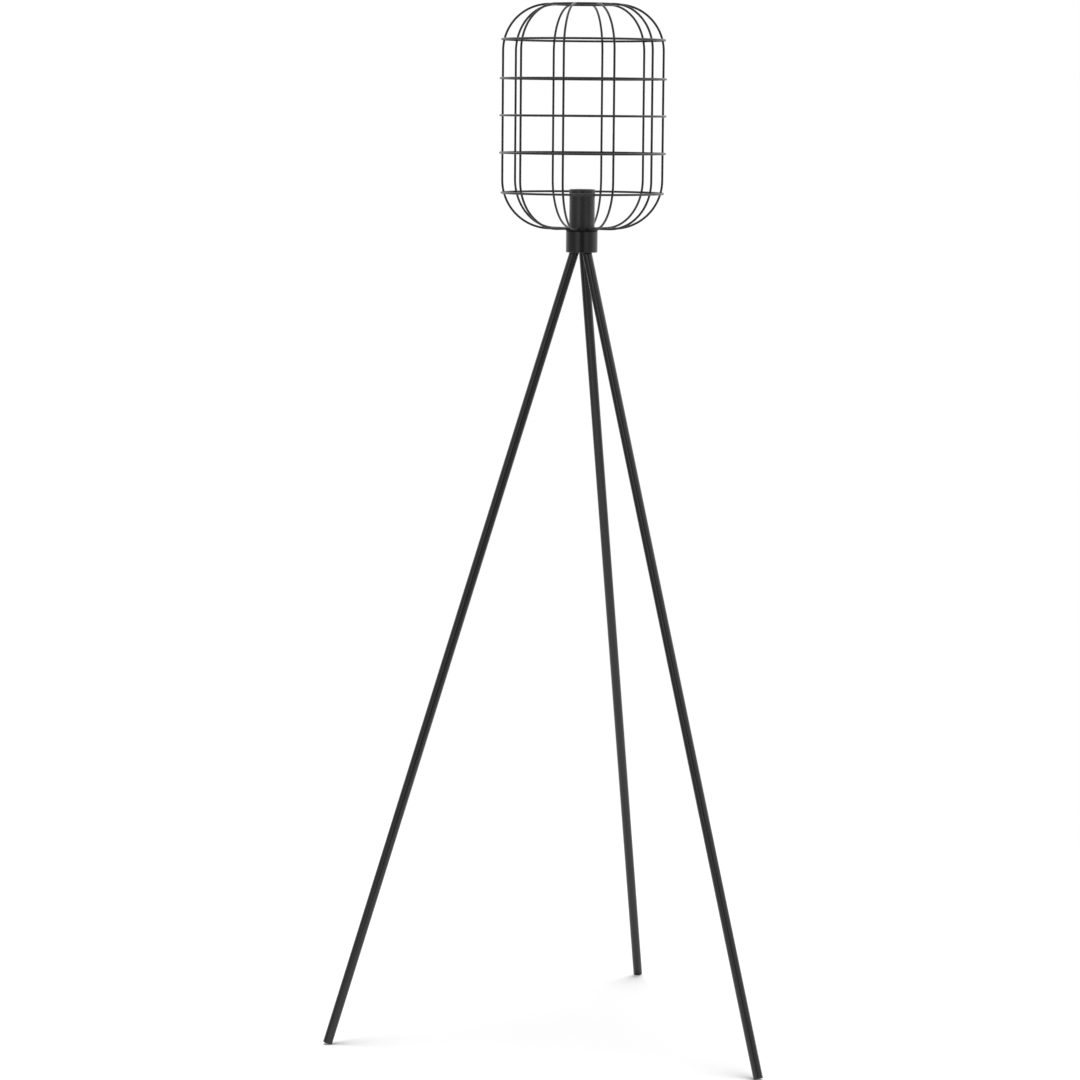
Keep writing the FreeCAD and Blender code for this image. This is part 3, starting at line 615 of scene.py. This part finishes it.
# The five powder coats stand for one black coat in lit and shaded copies: each tone and sheen is set to
# how its piece looks under this light.
FINISHES = {
    "leg_coat": powder_coat("leg_coat", 0.0125, 0.24, scuffed_to=0.09),
    "hub_coat": powder_coat("hub_coat", 0.0145, 0.22),
    # Painted shade: the base plate's coat is darker and duller than the hub's, so that its rim reads as
    # shaded under the ribs.
    "plate_coat": powder_coat("plate_coat", 0.0055, 0.45, relief=0.000002, level=0.25),
    "wire_coat": powder_coat("wire_coat", 0.0150, 0.34, wave=0.0013, relief=0.000002, grain=0.0000008),
    # Painted light: the sleeve's coat is paler than the hub's, to match how brightly the sleeve is lit.
    "sleeve_coat": powder_coat("sleeve_coat", 0.0340, 0.33, wave=0.0018),
    "holder_plastic": moulded("holder_plastic", 0.0330, 0.34),
    "cap_plastic": moulded("cap_plastic", 0.0170, 0.52),
    "bush_plastic": moulded("bush_plastic", 0.0150, 0.48, grain=0.00025),
    "core_ceramic": glazed_core("core_ceramic"),
    "shell_brass": bare_metal("shell_brass", (0.82, 0.62, 0.30), (0.52, 0.36, 0.17), 0.24),
    "contact_bronze": bare_metal("contact_bronze", (0.78, 0.52, 0.32), (0.48, 0.30, 0.18), 0.30, 0.0004),
    "plated_steel": bare_metal("plated_steel", (0.62, 0.63, 0.64), (0.44, 0.44, 0.43), 0.30),
}

for entry in frame["record"]["subparts"]:
    solid = nodes[entry["node"]]
    solid.data.materials.clear()
    solid.data.materials.append(FINISHES[entry["material_slot"]])

skin("cage_crossing_welds", crossing_welds(), poles=True, slot="wire_coat", sharp=80)
skin("cage_plate_welds", plate_welds(), poles=True, slot="wire_coat", sharp=80)
skin("cage_top_ring_welds", top_ring_welds(), poles=False, slot="wire_coat", sharp=80)
skin("cage_hoop_seams", hoop_seams(), poles=False, slot="wire_coat", sharp=80)
shell = skin("screw_shell_rolled", rolled_shell(), poles=False, slot="shell_brass", sharp=35)
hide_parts("screw_shell")


# ---------------------------------------------------------------------------
# Floor, backdrop and light
# ---------------------------------------------------------------------------

FLOOR_R = 1.6
FLOOR_TONE = 0.82
FLOOR_LIFT = 0.185                                # light that the camera and gloss see added
OVERHEAD = 0.80                                   # level of the light straight above
OVERHEAD_SPREAD = radians(22)                     # and its width, which softens the shadows
AROUND = 0.30                                     # level of the world on matt surfaces
FRONT = radians(-74.446)                          # from the lamp towards the camera
WALLS = [                                         # degrees from the front, and the level there
    (-180, 1.0), (-122, 0.85), (-98, 0.40), (-56, 0.34), (-42, 0.60), (-33, 1.0), (-22, 0.9),
    (-10, 0.20), (2, 0.06), (14, 0.16), (24, 0.60), (38, 0.66), (52, 0.43), (72, 0.46),
    (84, 0.72), (96, 1.0), (180, 1.0),
]
WALL_RISE = 1.75                                  # the walls' upper part against their lower
RISE_FROM, RISE_TO = 0.10, 0.36                   # upward part of the direction, 0 level, 1 straight up
CEILING_FROM, CEILING_TO = 0.55, 0.80             # where the walls go over into the ceiling, likewise


def who_sees(tree):
    """Two masks: what the camera sees, and what glossy and clear surfaces see."""
    light = tree.nodes.new("ShaderNodeLightPath").outputs
    shiny = maths(tree, "MAXIMUM", light["Is Glossy Ray"], light["Is Transmission Ray"])
    return light["Is Camera Ray"], shiny


def pale_floor():
    """A round plain pale floor. The camera and gloss see it a little lifted, so that it meets the
    white backdrop with no edge, and it keeps the lamp's shadow."""
    mesh = bpy.data.meshes.new("floor")
    angle = np.linspace(0, 2 * pi, 96, endpoint=False)
    rim = np.stack([FLOOR_R * np.cos(angle), FLOOR_R * np.sin(angle), 0 * angle], axis=-1)
    mesh.from_pydata(rim.tolist(), [], [tuple(range(len(rim)))])
    floor = bpy.data.objects.new("floor", mesh)
    bpy.context.scene.collection.objects.link(floor)
    material = bpy.data.materials.new("floor")
    material.use_nodes = True
    tree = material.node_tree
    tree.nodes.clear()
    matt = node(tree, "ShaderNodeBsdfDiffuse", Color=grey(FLOOR_TONE))
    camera_sees, gloss_sees = who_sees(tree)
    seen = maths(tree, "MAXIMUM", camera_sees, gloss_sees)
    extra = maths(tree, "MULTIPLY", seen, FLOOR_LIFT)
    lift = node(tree, "ShaderNodeEmission", Color=grey(1.0), Strength=extra)
    both = node(tree, "ShaderNodeAddShader", _0=matt.outputs[0], _1=lift.outputs[0])
    out = tree.nodes.new("ShaderNodeOutputMaterial")
    tree.links.new(both.outputs[0], out.inputs["Surface"])
    mesh.materials.append(material)


def studio_world():
    """White for the camera, even light for matt surfaces, and for gloss a white room with a
    darker front in which two upright soft boxes stand. The walls get brighter with height, and
    the ceiling is plain white."""
    world = bpy.data.worlds.new("studio")
    bpy.context.scene.world = world
    world.use_nodes = True
    tree = world.node_tree
    tree.nodes.clear()
    aim = tree.nodes.new("ShaderNodeTexCoord").outputs["Generated"]
    turned_to = node(tree, "ShaderNodeVectorRotate", Vector=aim, Axis=(0, 0, 1), Angle=-FRONT)
    parts = node(tree, "ShaderNodeSeparateXYZ", Vector=turned_to.outputs[0]).outputs
    swing = maths(tree, "ARCTAN2", parts["Y"], parts["X"])      # 0 at the front, positive to its right
    ramp = node(tree, "ShaderNodeValToRGB", Fac=remap(tree, swing, -pi, pi, 0, 1))
    track = ramp.color_ramp.elements
    while len(track) < len(WALLS):
        track.new(0.5)
    for mark, (degrees, level) in zip(track, WALLS):
        mark.position = (degrees + 180) / 360
        mark.color = grey(level)
    rise = remap(tree, parts["Z"], RISE_FROM, RISE_TO, 1, WALL_RISE, smooth=True)
    walls = maths(tree, "MULTIPLY", ramp.outputs["Color"], rise)
    high = remap(tree, parts["Z"], CEILING_FROM, CEILING_TO, 0, 1, smooth=True)
    room = blend(tree, high, walls, grey(1.0))
    camera_sees, gloss_sees = who_sees(tree)
    colour = blend(tree, gloss_sees, grey(AROUND), room)
    colour = blend(tree, camera_sees, colour, grey(1.0))
    back = node(tree, "ShaderNodeBackground", Color=colour, Strength=1.0)
    out = tree.nodes.new("ShaderNodeOutputWorld")
    tree.links.new(back.outputs[0], out.inputs["Surface"])


def overhead_light():
    """One soft light straight above. It gives each leg its short shadow on the floor, which
    spreads and fades as the leg rises. Gloss sees the world's white ceiling in its place."""
    data = bpy.data.lights.new("overhead", "SUN")
    data.energy = OVERHEAD * pi
    data.angle = OVERHEAD_SPREAD
    lamp = bpy.data.objects.new("overhead", data)
    lamp.location = (0, 0, 3)
    lamp.visible_glossy = False
    bpy.context.scene.collection.objects.link(lamp)


pale_floor()
studio_world()
overhead_light()
bpy.context.scene.view_settings.view_transform = "Standard"
